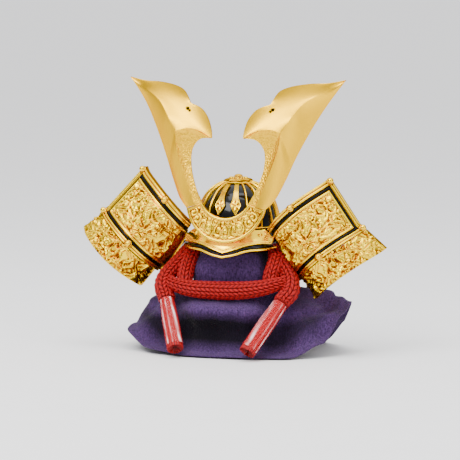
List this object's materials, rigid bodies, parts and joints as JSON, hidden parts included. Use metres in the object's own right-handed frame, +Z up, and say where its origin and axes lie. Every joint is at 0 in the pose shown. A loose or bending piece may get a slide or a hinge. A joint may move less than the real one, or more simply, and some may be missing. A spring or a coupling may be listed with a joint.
{
  "type": "kabuto samurai helmet on a cloth-draped display stand",
  "caption": "Display-size kabuto with black lacquered bowl, gold visor, stag-beetle crest horns, gold turned-back wings, red chin cord and tassels, on a stand draped with purple cloth.",
  "frame": {"origin": "centre of the flat underside of the stand's foot, on the floor", "axes": "+Z up, -Y is where the helmet faces, +X to the right of someone looking at its front"},
  "size_m": [0.3404, 0.2075, 0.296],
  "materials": {
    "gold": "polished gold plate",
    "pale_gold": "satin gold plate",
    "lacquer": "black lacquer",
    "cord": "braided red silk",
    "cloth": "woven purple cloth",
    "clear_film": "clear film",
    "stand_wood": "plain"
  },
  "bodies": {
    "root": {"stand_post": "stand_wood", "stand_cloth": "cloth", "helmet_bowl": "lacquer", "bowl_band": "lacquer", "bowl_ribs": "gold", "crown_rosette": "gold", "crown_finial": "gold", "visor_plate": "gold", "visor_band": "lacquer", "visor_rim": "gold", "crest_base": "gold", "chin_cord": "cord", "front_plate_left": "gold", "visor_rivet_left": "gold", "crest_horn_left": "pale_gold", "wing_upper_left": "gold", "wing_lower_left": "gold", "wing_inlay_left": "lacquer", "tassel_cord_left": "cord", "side_strand_left": "cord", "tassel_left": "cord", "tassel_sleeve_left": "clear_film", "wing_stud_left_top": "gold", "wing_stud_left_corner": "gold", "wing_stud_left_end": "gold", "wing_stud_left_bottom": "gold", "front_plate_right": "gold", "visor_rivet_right": "gold", "crest_horn_right": "pale_gold", "wing_upper_right": "gold", "wing_lower_right": "gold", "wing_inlay_right": "lacquer", "tassel_cord_right": "cord", "side_strand_right": "cord", "tassel_right": "cord", "tassel_sleeve_right": "clear_film", "wing_stud_right_top": "gold", "wing_stud_right_corner": "gold", "wing_stud_right_end": "gold", "wing_stud_right_bottom": "gold", "neck_lame_1": "lacquer", "neck_lame_2": "lacquer", "neck_lame_3": "lacquer"}
  },
  "joints": []
}
